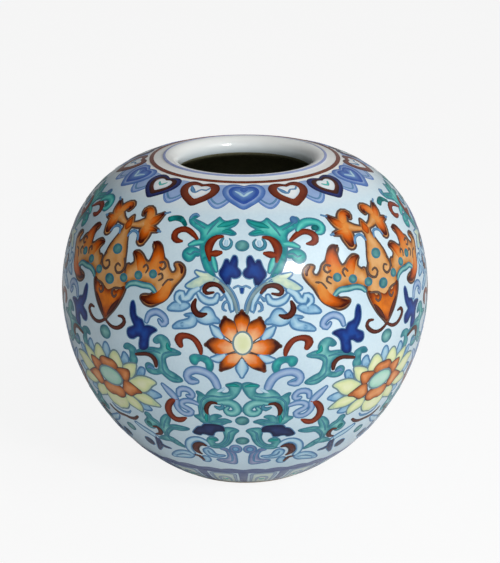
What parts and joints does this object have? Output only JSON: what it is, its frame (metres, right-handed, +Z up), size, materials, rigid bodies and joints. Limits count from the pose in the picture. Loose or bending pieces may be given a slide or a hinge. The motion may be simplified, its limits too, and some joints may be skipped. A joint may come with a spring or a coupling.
{
  "type": "water coupe",
  "caption": "Apple-shaped porcelain water pot with a small rounded mouth and a low foot ring, enamelled with bats, lotus flowers and leafy scrolls, for water on a writing desk.",
  "frame": {"origin": "middle of the foot ring, on the table", "axes": "+Z up along the pot's axis, the lotus flower at the picture's middle faces -Y, +X to the right of it"},
  "size_m": [0.1002, 0.1002, 0.0867],
  "materials": {
    "bare_porcelain": "bare biscuit, matt, a little stained",
    "porcelain": "fired porcelain clay, matt",
    "luting_slip": "fired slip, matt",
    "pale_glaze": "clear glossy glaze with a cool cast",
    "inner_glaze": "dark glossy glaze",
    "iron_red_enamel": "glossy fired enamel",
    "cobalt_blue": "glossy cobalt painting",
    "orange_enamel": "glossy fired enamel, pale to dark",
    "yellow_enamel": "glossy fired enamel, thin",
    "mint_enamel": "glossy fired enamel, thin",
    "turquoise_enamel": "glossy fired enamel"
  },
  "bodies": {
    "root": {"foot_ring": "bare_porcelain", "lower_bowl": "porcelain", "luting_seam": "luting_slip", "upper_bowl": "porcelain", "lip_ring": "porcelain", "outer_glaze": "pale_glaze", "inner_glaze": "inner_glaze", "base_glaze": "pale_glaze", "mouth_blue_line": "cobalt_blue", "mouth_red_ring": "iron_red_enamel", "ruyi_hearts_red": "iron_red_enamel", "ruyi_hearts_navy": "cobalt_blue", "ruyi_hearts_blue": "cobalt_blue", "lotus_petals": "orange_enamel", "lotus_cores": "yellow_enamel", "yellow_petals": "yellow_enamel", "mint_cores": "mint_enamel", "turquoise_dots": "turquoise_enamel", "panel_line": "cobalt_blue", "foot_panel_bars": "cobalt_blue"}
  },
  "joints": []
}
